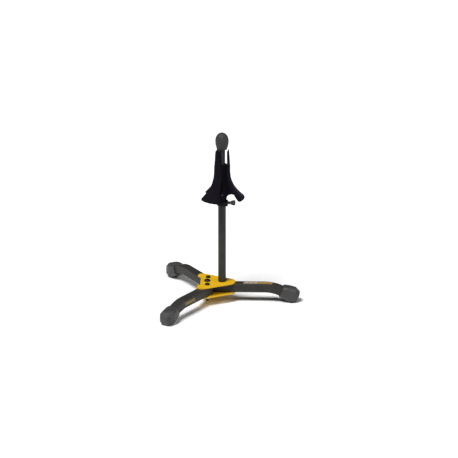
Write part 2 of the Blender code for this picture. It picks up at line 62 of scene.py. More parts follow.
POST_AXIS = middle("post").xy
POST_RADIUS = (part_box("post")[1][1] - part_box("post")[0][1]) / 2
POST_LOW, POST_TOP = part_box("post")[0][2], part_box("post")[1][2]
ROD_RADIUS = (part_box("head_rod")[1][1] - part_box("head_rod")[0][1]) / 2
PLATE_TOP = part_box("top_plate")[1][2]
LEG_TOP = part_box("fixed_leg")[1][2]
LEG_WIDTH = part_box("fixed_leg")[1][1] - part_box("fixed_leg")[0][1]
LEG_DEPTH = 17.2 * MM
LEG_MID = LEG_TOP - LEG_DEPTH / 2
LEG_WALL = 1.5 * MM
BEND_BEFORE_SOLE = 53.5 * MM      # from the sole's middle back to where the leg starts to bend
BEND_RADIUS = 80 * MM
BEND_DEG = 36


# ---------------------------------------------------------------- camera, light and floor

WORLD_HORIZON = 0.24
WORLD_ZENITH = 0.95
CAMERA_AZIMUTH = 1.7
CAMERA_ELEVATION = 19.2
CAMERA_DISTANCE = 8.0
CAMERA_LENS = 328.0
CAMERA_AIM = (-0.0046, 0.0, 0.1460)


def make_camera():
    azimuth, elevation = math.radians(CAMERA_AZIMUTH), math.radians(CAMERA_ELEVATION)
    back = Vector((
        math.sin(azimuth) * math.cos(elevation),
        -math.cos(azimuth) * math.cos(elevation),
        math.sin(elevation)))
    data = bpy.data.cameras.new("camera")
    data.sensor_width = 36
    data.lens = CAMERA_LENS
    data.clip_end = 50
    camera = bpy.data.objects.new("camera", data)
    camera.location = Vector(CAMERA_AIM) + back * CAMERA_DISTANCE
    camera.rotation_mode = "QUATERNION"
    camera.rotation_quaternion = (-back).to_track_quat("-Z", "Y")
    bpy.context.scene.collection.objects.link(camera)
    bpy.context.scene.camera = camera


def make_world():
    """A studio dome: bright overhead, darker towards the horizon."""
    world = bpy.data.worlds.new("studio")
    world.use_nodes = True
    tree = world.node_tree
    coordinates = tree.nodes.new("ShaderNodeTexCoord")
    split = tree.nodes.new("ShaderNodeSeparateXYZ")
    tree.links.new(coordinates.outputs["Generated"], split.inputs["Vector"])
    level = spread(tree, split.outputs["Z"], WORLD_HORIZON, WORLD_ZENITH, 0.0, 0.9)
    tree.links.new(level, tree.nodes["Background"].inputs["Strength"])
    bpy.context.scene.world = world


def make_soft_sun(name, power, spread_deg, place):
    """A large, distant softbox."""
    data = bpy.data.lights.new(name, "SUN")
    data.energy = power
    data.angle = math.radians(spread_deg)
    light = bpy.data.objects.new(name, data)
    light.rotation_mode = "QUATERNION"
    light.rotation_quaternion = (-Vector(place)).to_track_quat("-Z", "Y")
    bpy.context.scene.collection.objects.link(light)


def make_studio():
    make_world()
    bpy.context.scene.view_settings.view_transform = "Standard"
    make_soft_sun("key_softbox", 3.9, 28, (-0.5, -0.75, 1.6))
    make_soft_sun("right_softbox", 0.8, 30, (1.2, -0.5, 1.0))
    bm = bmesh.new()
    bmesh.ops.create_grid(bm, x_segments=1, y_segments=1, size=6)
    mesh = bpy.data.meshes.new("floor")
    bm.to_mesh(mesh)
    bm.free()
    floor = bpy.data.objects.new("floor", mesh)
    floor.location = (0, 0, -0.0004)
    bpy.context.scene.collection.objects.link(floor)
    material, _, shader = start_material("floor_paper", 0.9)
    shader.inputs["Base Color"].default_value = (0.94, 0.94, 0.94, 1.0)
    shader.inputs["Specular IOR Level"].default_value = 0.1
    mesh.materials.append(material)


# ---------------------------------------------------------------- materials

def start_material(name, roughness, metallic=0.0, shine=0.5):
    material = bpy.data.materials.new(name)
    material.use_nodes = True
    tree = material.node_tree
    shader = tree.nodes["Principled BSDF"]
    shader.inputs["Roughness"].default_value = roughness
    shader.inputs["Metallic"].default_value = metallic
    shader.inputs["Specular IOR Level"].default_value = shine
    return material, tree, shader


def noise_node(tree, scale, detail=3.0, stretch=None):
    """A noise pattern in the piece's own metres: scale is features per metre."""
    coordinates = tree.nodes.new("ShaderNodeTexCoord").outputs["Object"]
    if stretch:
        mapping = tree.nodes.new("ShaderNodeMapping")
        mapping.inputs["Scale"].default_value = stretch
        tree.links.new(coordinates, mapping.inputs["Vector"])
        coordinates = mapping.outputs["Vector"]
    pattern = tree.nodes.new("ShaderNodeTexNoise")
    pattern.inputs["Scale"].default_value = scale
    pattern.inputs["Detail"].default_value = detail
    tree.links.new(coordinates, pattern.inputs["Vector"])
    return pattern.outputs["Fac"]


def spread(tree, value, low, high, from_low=0.3, from_high=0.7):
    """Maps a pattern from one range to another."""
    node = tree.nodes.new("ShaderNodeMapRange")
    node.inputs["From Min"].default_value = from_low
    node.inputs["From Max"].default_value = from_high
    node.inputs["To Min"].default_value = low
    node.inputs["To Max"].default_value = high
    tree.links.new(value, node.inputs["Value"])
    return node.outputs["Result"]


def mix_colours(tree, factor, first, second):
    node = tree.nodes.new("ShaderNodeMix")
    node.data_type = "RGBA"
    tree.links.new(factor, node.inputs["Factor"])
    for socket, colour in ((node.inputs[6], first), (node.inputs[7], second)):
        if isinstance(colour, tuple):
            socket.default_value = (*colour, 1.0)
        else:
            tree.links.new(colour, socket)
    return node.outputs[2]


def multiply(tree, first, second):
    node = tree.nodes.new("ShaderNodeMath")
    node.operation = "MULTIPLY"
    node.use_clamp = True
    tree.links.new(first, node.inputs[0])
    if isinstance(second, float):
        node.inputs[1].default_value = second
    else:
        tree.links.new(second, node.inputs[1])
    return node.outputs[0]


def edge_mask(tree, radius, gain):
    """Near 1 on sharp edges and 0 on flat faces, from how far a bevelled normal leans."""
    bevel = tree.nodes.new("ShaderNodeBevel")
    bevel.samples = 4
    bevel.inputs["Radius"].default_value = radius
    geometry = tree.nodes.new("ShaderNodeNewGeometry")
    dot = tree.nodes.new("ShaderNodeVectorMath")
    dot.operation = "DOT_PRODUCT"
    tree.links.new(bevel.outputs["Normal"], dot.inputs[0])
    tree.links.new(geometry.outputs["Normal"], dot.inputs[1])
    return spread(tree, dot.outputs["Value"], gain, 0.0, 0.90, 0.995)


def add_bump(tree, shader, patterns):
    """Stacks (pattern, depth in metres) as bumps on the shader's normal."""
    normal = None
    for pattern, depth in patterns:
        bump = tree.nodes.new("ShaderNodeBump")
        bump.inputs["Strength"].default_value = 1.0
        bump.inputs["Distance"].default_value = depth
        tree.links.new(pattern, bump.inputs["Height"])
        if normal:
            tree.links.new(normal, bump.inputs["Normal"])
        normal = bump.outputs["Normal"]
    tree.links.new(normal, shader.inputs["Normal"])


def painted_steel(name, dark, light, mark_colour, roughness, peel_depth, edge_gain=0.5, shine=0.2):
    """Powder coat: faint cloudiness, orange peel, dust, and a rubbed line along the edges."""
    material, tree, shader = start_material(name, roughness, shine=shine)
    clouds = spread(tree, noise_node(tree, 45, 4), 0.0, 1.0)
    coat = mix_colours(tree, clouds, dark, light)
    rubbed = multiply(tree, edge_mask(tree, 0.6 * MM, edge_gain), spread(tree, noise_node(tree, 260, 5), 0, 1))
    tree.links.new(mix_colours(tree, rubbed, coat, mark_colour), shader.inputs["Base Color"])
    tree.links.new(
        spread(tree, noise_node(tree, 130, 6), roughness - 0.07, roughness + 0.09),
        shader.inputs["Roughness"])
    add_bump(tree, shader, [
        (noise_node(tree, 900, 2), peel_depth), (noise_node(tree, 3200, 2), peel_depth * 0.35)])
    return material


def moulded(name, dark, light, mark_colour, roughness, grain_depth, grain_scale=1800, edge_gain=0.4, shine=0.2):
    """Moulded rubber or plastic: fine grain, dusty patches, and paler rubbed edges; on the boot the edge colour is
    darker, a painted shade.
    """
    material, tree, shader = start_material(name, roughness, shine=shine)
    clouds = spread(tree, noise_node(tree, 70, 5), 0.0, 1.0)
    body = mix_colours(tree, clouds, dark, light)
    # Edge colour: rubbed wear on most mouldings; on the boot, dark painted shade along the facet edges.
    rubbed = multiply(tree, edge_mask(tree, 0.9 * MM, edge_gain), spread(tree, noise_node(tree, 380, 4), 0.2, 1))
    tree.links.new(mix_colours(tree, rubbed, body, mark_colour), shader.inputs["Base Color"])
    tree.links.new(
        spread(tree, noise_node(tree, 220, 5), roughness - 0.08, roughness + 0.08),
        shader.inputs["Roughness"])
    add_bump(tree, shader, [
        (noise_node(tree, grain_scale, 3), grain_depth), (noise_node(tree, 240, 3), grain_depth * 1.5)])
    return material


def velvet(name):
    """Short black pile: a bluish sheen, brushed patches where the nap leans, and a fibre bump."""
    material, tree, shader = start_material(name, 0.95, shine=0.05)
    shader.inputs["Sheen Weight"].default_value = 0.12
    shader.inputs["Sheen Roughness"].default_value = 0.35
    shader.inputs["Sheen Tint"].default_value = (0.55, 0.48, 0.75, 1.0)
    brushed = spread(tree, noise_node(tree, 90, 3, stretch=(1, 1, 0.35)), 0.0, 1.0, 0.35, 0.65)
    pile = spread(tree, noise_node(tree, 2400, 2), 0.0, 1.0)
    nap = mix_colours(tree, brushed, (0.0030, 0.0024, 0.0043), (0.0062, 0.0051, 0.0084))
    tips = mix_colours(tree, multiply(tree, pile, 0.4), nap, (0.012, 0.010, 0.016))
    tree.links.new(tips, shader.inputs["Base Color"])
    add_bump(tree, shader, [
        (noise_node(tree, 1500, 3, stretch=(1, 1, 0.5)), 0.22 * MM), (noise_node(tree, 4200, 2), 0.12 * MM)])
    return material


def metal(name, dark, light, roughness, brushing=(1, 1, 1), metallic=1.0):
    """Plated or oxidised steel with fine tool marks and slight tarnish."""
    material, tree, shader = start_material(name, roughness, metallic)
    tarnish = spread(tree, noise_node(tree, 300, 4), 0.0, 1.0)
    tree.links.new(mix_colours(tree, tarnish, dark, light), shader.inputs["Base Color"])
    tree.links.new(
        spread(tree, noise_node(tree, 1500, 3, brushing), roughness - 0.08, roughness + 0.12),
        shader.inputs["Roughness"])
    add_bump(tree, shader, [(noise_node(tree, 2600, 3, brushing), 0.012 * MM)])
    return material


def print_ink(name, colour, mark_colour):
    """Screen-printed ink, broken a little where it has rubbed."""
    material, tree, shader = start_material(name, 0.5)
    rubbed = spread(tree, noise_node(tree, 900, 5), 0.0, 1.0, 0.5, 0.75)
    tree.links.new(mix_colours(tree, rubbed, colour, mark_colour), shader.inputs["Base Color"])
    add_bump(tree, shader, [(noise_node(tree, 2500, 2), 0.01 * MM)])
    return material


YELLOW = painted_steel(
    "yellow_powder_coat", (0.62, 0.360, 0.008), (0.68, 0.405, 0.013), (0.30, 0.19, 0.04), 0.36, 0.02 * MM)
CHARCOAL = painted_steel(
    "charcoal_powder_coat", (0.024, 0.022, 0.020), (0.034, 0.032, 0.029), (0.10, 0.09, 0.08), 0.46,
    0.03 * MM)
ROD_GREY = painted_steel(
    "grey_satin_coat", (0.030, 0.029, 0.033), (0.040, 0.039, 0.043), (0.12, 0.12, 0.12), 0.42, 0.012 * MM)
# The boot's edge colour, far darker than its body and laid on strongly, is painted shade along the facet edges,
# not wear.
BOOT_RUBBER = moulded(
    "boot_rubber", (0.036, 0.035, 0.036), (0.052, 0.050, 0.051), (0.012, 0.012, 0.012), 0.42, 0.04 * MM,
    edge_gain=4.0, shine=0.3)
HEAD_RUBBER = moulded(
    "head_rubber", (0.030, 0.030, 0.030), (0.040, 0.040, 0.041), (0.08, 0.08, 0.08), 0.58, 0.035 * MM)
DARK_PLASTIC = moulded(
    "dark_plastic", (0.0055, 0.0045, 0.0045), (0.009, 0.0075, 0.0075), (0.03, 0.03, 0.03), 0.55, 0.02 * MM,
    edge_gain=0.12, shine=0.1)
GRIP_PLASTIC = moulded(
    "grip_plastic", (0.028, 0.029, 0.024), (0.038, 0.039, 0.034), (0.10, 0.10, 0.09), 0.45, 0.02 * MM)
NYLON = moulded("white_nylon", (0.60, 0.59, 0.55), (0.70, 0.69, 0.65), (0.8, 0.8, 0.78), 0.45, 0.01 * MM)
VELVET = velvet("black_velvet")
BLACK_STEEL = metal("black_oxide", (0.010, 0.009, 0.007), (0.024, 0.021, 0.018), 0.40, metallic=0.6)
ZINC = metal("zinc_plate", (0.42, 0.43, 0.45), (0.60, 0.61, 0.63), 0.32)
SCREW_STEEL = metal("dark_nickel_plate", (0.020, 0.023, 0.030), (0.036, 0.041, 0.052), 0.38)
BRASS = metal("turned_brass", (0.52, 0.36, 0.13), (0.70, 0.52, 0.22), 0.28, brushing=(0.1, 1, 1))
YELLOW_INK = print_ink("yellow_ink", (0.30, 0.21, 0.03), (0.06, 0.05, 0.03))
GOLD_INK = print_ink("gold_ink", (0.56, 0.33, 0.08), (0.20, 0.14, 0.07))
PALE_INK = print_ink("pale_ink", (0.60, 0.47, 0.33), (0.36, 0.28, 0.20))


# ---------------------------------------------------------------- shapes

def finish_mesh(bm, name, material, sharp_deg=35):
    bmesh.ops.recalc_face_normals(bm, faces=bm.faces)
    mesh = bpy.data.meshes.new(name)
    bm.to_mesh(mesh)
    bm.free()
    mesh.shade_smooth()
    mesh.set_sharp_from_angle(angle=math.radians(sharp_deg))
    obj = bpy.data.objects.new(name, mesh)
    mesh.materials.append(material)
    bpy.context.scene.collection.objects.link(obj)
    return obj


def arc(centre, radius, start_deg, end_deg, count):
    """Points along an arc, both ends included."""
    angles = [math.radians(start_deg + (end_deg - start_deg) * i / count) for i in range(count + 1)]
    return [(centre[0] + radius * math.cos(a), centre[1] + radius * math.sin(a)) for a in angles]


def bridge(bm, first, second):
    for i in range(len(first)):
        j = (i + 1) % len(first)
        bm.faces.new((first[i], first[j], second[j], second[i]))


def lathe(name, profile, material, steps=96, closed=False, bend=None, sharp_deg=35):
    """Turns (radius, height) points about Z. Points on the axis become one vertex."""
    bm = bmesh.new()
    rings = []
    for radius, height in profile:
        if radius < 1e-7:
            rings.append([bm.verts.new((0, 0, height))])
            continue
        ring = []
        for i in range(steps):
            angle = 2 * math.pi * i / steps
            r = radius + (bend(angle, height) if bend else 0.0)
            ring.append(bm.verts.new((r * math.cos(angle), r * math.sin(angle), height)))
        rings.append(ring)
    pairs = list(zip(rings, rings[1:]))
    if closed:
        pairs.append((rings[-1], rings[0]))
    for first, second in pairs:
        if len(first) == 1 or len(second) == 1:
            tip, ring = (first[0], second) if len(first) == 1 else (second[0], first)
            for i in range(steps):
                bm.faces.new((tip, ring[i], ring[(i + 1) % steps]))
        else:
            bridge(bm, first, second)
    return finish_mesh(bm, name, material, sharp_deg)


def prism(name, outline, low, high, material, edge=0.0, segments=3):
    """A flat outline between two heights, with rounded edges."""
    bm = bmesh.new()
    lower = [bm.verts.new((x, y, low)) for x, y in outline]
    upper = [bm.verts.new((x, y, high)) for x, y in outline]
    bridge(bm, lower, upper)
    caps = [bm.faces.new(lower), bm.faces.new(upper)]
    if edge:
        rims = {e for cap in caps for e in cap.edges}
        bmesh.ops.bevel(
            bm, geom=list(rims), offset=edge, segments=segments, profile=0.5, affect="EDGES",
            clamp_overlap=True)
    return finish_mesh(bm, name, material)


def soften(obj, width, segments=3, angle_deg=30):
    modifier = obj.modifiers.new("soften", "BEVEL")
    modifier.width = width
    modifier.segments = segments
    modifier.limit_method = "ANGLE"
    modifier.angle_limit = math.radians(angle_deg)
    modifier.harden_normals = False


def apply_modifiers(obj, sharp_deg=35):
    """Bakes an object's modifiers into its mesh."""
    bpy.context.view_layer.update()
    depsgraph = bpy.context.evaluated_depsgraph_get()
    mesh = bpy.data.meshes.new_from_object(obj.evaluated_get(depsgraph))
    obj.modifiers.clear()
    obj.data = mesh
    mesh.shade_smooth()
    mesh.set_sharp_from_angle(angle=math.radians(sharp_deg))
    return obj


def combine(obj, tool, operation):
    """Cuts or joins with a tool, then removes the tool."""
    modifier = obj.modifiers.new("combine", "BOOLEAN")
    modifier.operation = operation
    modifier.solver = "EXACT"
    modifier.object = tool
    apply_modifiers(obj)
    bpy.data.objects.remove(tool, do_unlink=True)
    return obj


def dress(obj, body, slot, *nodes):
    """Says which body a piece rides on and which CAD nodes it stands for, hiding them; the finish passed in is not
    used.
    """
    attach(obj, body)
    if nodes:
        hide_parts(*nodes)
    return obj


def thread_profile(radius, high, low, pitch=0.8 * MM):
    """The outer side of a screw thread, drawn as ridges, from high down to low."""
    count = max(1, int((high - low) / pitch))
    step = (high - low) / count
    points = []
    for i in range(count):
        top = high - i * step
        points += [(radius - 0.32 * step, top - 0.02 * step), (radius, top - 0.5 * step)]
    return points + [(radius - 0.32 * step, low)]


# ---------------------------------------------------------------- plates

NOSE_RADIUS = 17 * MM
LOBE_RADIUS = 9.5 * MM
NOTCH_DEPTH = 6.5 * MM
LOBE_INNER_DEG = 205


def plate_outline(node):
    """Three lobes joined by straight sides, with a shallow notch between the two rear lobes."""
    low, high = (Vector(corner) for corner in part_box(node))
    nose_centre = Vector((high.x - NOSE_RADIUS, 0))
    lobe_centre = Vector((low.x + LOBE_RADIUS, high.y - LOBE_RADIUS))
    away = lobe_centre - nose_centre
    lean = math.degrees(math.acos((NOSE_RADIUS - LOBE_RADIUS) / away.length))
    tangent = math.degrees(math.atan2(away.y, away.x)) - lean
    nose = arc(nose_centre, NOSE_RADIUS, -tangent, tangent, 40)
    lobe = arc(lobe_centre, LOBE_RADIUS, tangent, LOBE_INNER_DEG, 36)
    notch_x = low.x + NOTCH_DEPTH
    corner = lobe[-1]
    fillet = [
        (corner[0] + (notch_x - corner[0]) * (1 - math.cos(t)), corner[1] - 7.0 * MM * math.sin(t))
        for t in (math.radians(a) for a in range(12, 91, 13))]
    upper = lobe + fillet
    lower = [(x, -y) for x, y in reversed(upper)]
    return nose + upper + lower


def make_plates():
    for node in ("top_plate", "bottom_plate"):
        low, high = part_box(node)
        plate = prism(node + "_steel", plate_outline(node), low[2], high[2], YELLOW, 0.55 * MM, 3)
        dress(plate, "base", "yellow_paint", node)


# ---------------------------------------------------------------- legs and boots

def leg_station(along):
    """A leg's centreline at a distance along it, from its bend: the point, and its way out."""
    if along <= 0:
        return Vector((along - BEND_BEFORE_SOLE, 0, LEG_MID)), Vector((1, 0, 0))
    angle = along / BEND_RADIUS
    point = Vector((
        BEND_RADIUS * math.sin(angle) - BEND_BEFORE_SOLE, 0,
        LEG_MID - BEND_RADIUS * (1 - math.cos(angle))))
    return point, Vector((math.cos(angle), 0, -math.sin(angle)))


def leg_ring(bm, along, half_width, half_depth, corner, corner_steps=6):
    """A rounded rectangle across the leg."""
    point, out = leg_station(along)
    up = Vector((-out.z, 0, out.x))
    ring = []
    quarters = ((1, 1, 0), (-1, 1, 90), (-1, -1, 180), (1, -1, 270))
    for side, rise, start in quarters:
        centre = (side * (half_width - corner), rise * (half_depth - corner))
        for y, z in arc(centre, corner, start, start + 90, corner_steps):
            ring.append(bm.verts.new(point + Vector((0, y, 0)) + up * z))
    return ring


def leg_stations(start):
    """Distances along a leg from its inner end to its outer end."""
    bend_length = math.radians(BEND_DEG) * BEND_RADIUS
    straight = [start * (1 - i / 6) for i in range(6)]
    return straight + [bend_length * i / 28 for i in range(29)]


def make_leg_mesh(name, start):
    """A bent box tube, open at its inner end, with its wall showing there."""
    bm = bmesh.new()
    half_width, half_depth, corner = LEG_WIDTH / 2, LEG_DEPTH / 2, 1.9 * MM
    rim = 0.3 * MM
    rings = [leg_ring(bm, start, half_width - rim, half_depth - rim, corner - rim)]
    stations = leg_stations(start)
    rings += [leg_ring(bm, max(s, start + rim), half_width, half_depth, corner) for s in stations]
    inner = LEG_WALL
    deep = start + 30 * MM
    inside = [
        leg_ring(bm, s, half_width - inner, half_depth - inner, corner - inner + 0.1 * MM)
        for s in (start, deep)]
    for first, second in zip(rings, rings[1:]):
        bridge(bm, first, second)
    bridge(bm, rings[0], inside[0])
    bridge(bm, inside[0], inside[1])
    bm.faces.new(rings[-1])
    bm.faces.new(inside[1])
    return finish_mesh(bm, name, CHARCOAL, 40)


# Top and bottom (distance from the sole's middle, height), half width and corner, all in mm.
BOOT_SECTIONS = (
    ((-16.0, 30.5), (-24.9, 12.6), 11.1, 2.8),
    ((-15.5, 31.0), (-24.5, 12.0), 11.6, 3.0),
    ((-8.5, 30.4), (-16.0, 7.0), 13.2, 4.4),
    ((-0.5, 29.2), (-4.5, 0.0), 14.0, 6.0),
    ((7.9, 27.0), (8.9, 0.0), 12.4, 6.0),
    ((15.5, 19.0), (15.1, 15.0), 7.6, 1.2),
)


def boot_ring(bm, top, bottom, half_width, corner):
    """Eight points of a section with cut corners."""
    top = Vector((top[0], 0, top[1])) * MM
    bottom = Vector((bottom[0], 0, bottom[1])) * MM
    inset = corner * MM / (top - bottom).length
    steps = ((0, half_width - corner), (inset, half_width), (1 - inset, half_width), (1, half_width - corner))
    right = [top.lerp(bottom, t) + Vector((0, -width * MM, 0)) for t, width in steps]
    left = [Vector((p.x, -p.y, p.z)) for p in reversed(right)]
    return [bm.verts.new(p) for p in right + left]


def make_boot_mesh(name):
    """The faceted rubber boot with softened facets, and a socket that the leg fills."""
    bm = bmesh.new()
    rings = [boot_ring(bm, *section) for section in BOOT_SECTIONS]
    for first, second in zip(rings, rings[1:]):
        bridge(bm, first, second)
    bm.faces.new(rings[0])
    bm.faces.new(rings[-1])
    boot = finish_mesh(bm, name, BOOT_RUBBER, 60)
    soften(boot, 0.45 * MM, 3, 8)
    apply_modifiers(boot, 4)
    bm = bmesh.new()
    gap = 0.25 * MM
    bend_length = math.radians(BEND_DEG) * BEND_RADIUS
    sleeve = [
        leg_ring(bm, s, LEG_WIDTH / 2 + gap, LEG_DEPTH / 2 + gap, 2.1 * MM)
        for s in (0, *(bend_length * i / 14 for i in range(3, 14)), bend_length + gap)]
    for first, second in zip(sleeve, sleeve[1:]):
        bridge(bm, first, second)
    bm.faces.new(sleeve[0])
    bm.faces.new(sleeve[-1])
    combine(boot, finish_mesh(bm, name + "_socket", BOOT_RUBBER), "DIFFERENCE")
    return apply_modifiers(boot, 4)


STRIPE_SLANT = 0.35


def stripe_points(side, along, half_length, half_height, lift):
    """The four corners of a slanted printed bar on a leg's side ('side') or its top ('top')."""
    corners = []
    for dx, dh in ((-half_length, -half_height), (half_length, -half_height),
                   (half_length, half_height), (-half_length, half_height)):
        point, out = leg_station(along + dx + STRIPE_SLANT * dh)
        up = Vector((-out.z, 0, out.x))
        if side == "top":
            corners.append(point + up * (LEG_DEPTH / 2 + lift) + Vector((0, dh, 0)))
        else:
            corners.append(point + up * dh + Vector((0, LEG_WIDTH / 2 + lift, 0)))
    return corners


def make_stripes(name, side, start, count, pitch, half_height, material):
    """A row of generic slanted bars, printed on a leg."""
    bm = bmesh.new()
    for i in range(count):
        along = start + i * pitch
        half_length = pitch * (0.34 if i % 3 else 0.22)
        outer, inner = (
            [bm.verts.new(p) for p in stripe_points(side, along, half_length, half_height, lift)]
            for lift in (0.06 * MM, -0.2 * MM))
        bridge(bm, inner, outer)
        bm.faces.new(inner)
        bm.faces.new(outer)
    return finish_mesh(bm, name, material)


def leg_matrix(leg, pivot):
    sole = Vector(MOUNTS[leg + "_sole"]["pos_m"])
    out = sole - Vector(pivot)
    return Matrix.Translation((sole.x, sole.y, 0)) @ Matrix.Rotation(math.atan2(out.y, out.x), 4, "Z")


def make_legs():
    fixed_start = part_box("fixed_leg")[0][0]
    sole_x = MOUNTS["fixed_leg_sole"]["pos_m"][0]
    pivot_to_end = 6.5 * MM
    for leg, joint in (("fixed_leg", None), ("front_leg", "front_leg_fold"), ("rear_leg", "rear_leg_fold")):
        body = "base" if joint is None else leg
        sole = Vector(MOUNTS[leg + "_sole"]["pos_m"])
        if joint:
            pivot = Vector(JOINTS[joint]["pos_m"])
            start = BEND_BEFORE_SOLE - (sole.xy - pivot.xy).length - pivot_to_end
        else:
            pivot = Vector((fixed_start, 0, 0))
            start = fixed_start - sole_x + BEND_BEFORE_SOLE
        matrix = leg_matrix(leg, pivot)
        tube = make_leg_mesh(leg + "_tube", start)
        boot = make_boot_mesh(leg + "_rubber_boot")
        tube.data.transform(matrix)
        boot.data.transform(matrix)
        dress(tube, body, "charcoal_paint", leg)
        dress(boot, body, "boot_rubber", leg + "_boot")
        if leg == "fixed_leg":
            pale = make_stripes("fixed_leg_pale_stripes", "top", -38 * MM, 9, 3.0 * MM, 5.6 * MM, PALE_INK)
            pale.data.transform(matrix)
            dress(pale, body, "yellow_paint")
            stripes = make_stripes("fixed_leg_stripes", "top", -11 * MM, 9, 3.0 * MM, 5.6 * MM, GOLD_INK)
        elif leg == "front_leg":
            stripes = make_stripes(
                "front_leg_stripes", "side", -24.5 * MM, 11, 3.1 * MM, 3.2 * MM, YELLOW_INK)
        else:
            continue
        stripes.data.transform(matrix)
        dress(stripes, body, "yellow_paint")


# ---------------------------------------------------------------- fasteners

BOLT_RADIUS = 3.0 * MM


def hexagon(name, across, low, high, centre, material=None, turn_deg=0.0):
    points = arc(centre, across / math.sqrt(3), turn_deg, turn_deg + 300, 5)
    return prism(name, points, low, high, material or ZINC)


def make_bolt(node):
    """A black button-head bolt with a hexagon socket and a threaded end."""
    low, high = (Vector(corner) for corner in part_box(node))
    centre = (low + high) / 2
    seat = PLATE_TOP + 0.1 * MM
    rise = high.z - seat
    radius = (high.x - low.x) / 2
    shank = BOLT_RADIUS
    crown = [
        (radius * (0.62 + 0.38 * math.sin(math.radians(a))),
         seat + rise * (0.22 + 0.78 * math.cos(math.radians(a))))
        for a in range(0, 91, 10)]
    thread = thread_profile(shank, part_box("bottom_plate")[0][2], low.z + 0.6 * MM)
    profile = [
        (0, high.z), *crown, (radius, seat), (shank, seat), *thread, (shank - 0.8 * MM, low.z), (0, low.z)]
    bolt = lathe(node + "_steel", profile, BLACK_STEEL, 64)
    socket = hexagon("socket", radius * 0.8, seat + rise * 0.3, high.z + MM, (0, 0), BLACK_STEEL)
    combine(bolt, socket, "DIFFERENCE")
    bolt.location = (centre.x, centre.y, 0)
    dress(bolt, "base", "black_steel", node)


def make_nut(node):
    """A hexagon lock nut, chamfered at its corners, with its round collar below."""
    low, high = (Vector(corner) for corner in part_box(node))
    centre = (low + high) / 2
    across = high.x - low.x
    collar = (high.z - low.z) * 0.3
    nut = hexagon(node + "_steel", across, low.z + collar, high.z + 0.2 * MM, (0, 0), turn_deg=90)
    corner = across / math.sqrt(3)
    cone = lathe("chamfer", [
        (0, high.z + 0.3 * MM), (across * 0.5, high.z + 0.3 * MM), (corner + 0.1 * MM, high.z - 0.7 * MM),
        (corner + 0.1 * MM, low.z + collar + 0.7 * MM), (across * 0.47, low.z + collar - 0.1 * MM),
        (0, low.z + collar - 0.1 * MM)], ZINC, 64)
    combine(nut, cone, "INTERSECT")
    ring = lathe("ring", [
        (BOLT_RADIUS + 0.2 * MM, low.z + 2 * collar), (across * 0.44, low.z + 2 * collar),
        (across * 0.42, low.z + 0.6 * MM), (across * 0.37, low.z), (BOLT_RADIUS + 0.2 * MM, low.z)],
        ZINC, 64, closed=True)
    combine(nut, ring, "UNION")
    nut.location = (centre.x, centre.y, 0)
    dress(nut, "base", "bright_steel", node)


def make_post_bolt():
    """The hexagon bolt and washer under the post."""
    low, high = (Vector(corner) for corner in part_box("post_bolt"))
    centre = (low + high) / 2
    across = high.x - low.x
    head_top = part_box("post_washer")[0][2]
    head = hexagon("post_bolt_steel", across, low.z, head_top, (0, 0), turn_deg=90)
    corner = across / math.sqrt(3)
    cone = lathe("chamfer", [
        (0, head_top + 0.1 * MM), (corner + 0.1 * MM, head_top + 0.1 * MM),
        (corner + 0.1 * MM, low.z + 0.8 * MM), (across * 0.46, low.z - 0.1 * MM), (0, low.z - 0.1 * MM)],
        ZINC, 64)
    combine(head, cone, "INTERSECT")
    shank = lathe("shank", [
        (0, high.z), (BOLT_RADIUS, high.z), (BOLT_RADIUS, low.z + 2 * MM), (0, low.z + 2 * MM)], ZINC, 48)
    combine(head, shank, "UNION")
    head.location = (centre.x, centre.y, 0)
    dress(head, "base", "bright_steel", "post_bolt")
    low, high = (Vector(corner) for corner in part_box("post_washer"))
    radius = (high.x - low.x) / 2
    edge = 0.25 * MM
    bore = BOLT_RADIUS + 0.3 * MM
    washer = lathe("post_washer_steel", [
        (bore, high.z), (radius - edge, high.z), (radius, high.z - edge), (radius, low.z + edge),
        (radius - edge, low.z), (bore, low.z)], ZINC, 72, closed=True)
    washer.location = (centre.x, centre.y, 0)
    dress(washer, "base", "bright_steel", "post_washer")


def make_hub_screw():
    """The small plated pan-head screw on the front of the hub, with a cross recess."""
    low, high = (Vector(corner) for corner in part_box("hub_screw"))
    centre = (low + high) / 2
    radius = (high.z - low.z) / 2
    outward = (Vector((centre.x, centre.y, 0)) - Vector((*POST_AXIS, 0))).normalized()
    reach = -low.y - 0.1 * MM
    rise = reach - HUB_RADIUS
    shank, tip = 1.4 * MM, 6.5 * MM
    crown = [
        (radius * math.sin(math.radians(a)), HUB_RADIUS + rise * (0.35 + 0.65 * math.cos(math.radians(a))))
        for a in range(10, 91, 10)]
    profile = [(0, reach), *crown, (radius, HUB_RADIUS), (shank, HUB_RADIUS), (shank, tip), (0, tip)]
    screw = lathe("hub_screw_steel", profile, SCREW_STEEL, 48)
    for turn in (0, 90):
        slot = prism("slot", [(-2, -0.35), (2, -0.35), (2, 0.35), (-2, 0.35)], 0, 1, SCREW_STEEL)
        slot.data.transform(Matrix.Diagonal((MM * 0.8, MM * 0.8, 3 * MM, 1)))
        slot.data.transform(Matrix.Rotation(math.radians(turn + 20), 4, "Z"))
        slot.data.transform(Matrix.Translation((0, 0, reach - 0.7 * MM)))
        combine(screw, slot, "DIFFERENCE")
    turn = outward.to_track_quat("Z", "Y").to_matrix().to_4x4()
    screw.matrix_world = Matrix.Translation((*POST_AXIS, centre.z)) @ turn
    dress(screw, "base", "bright_steel", "hub_screw")


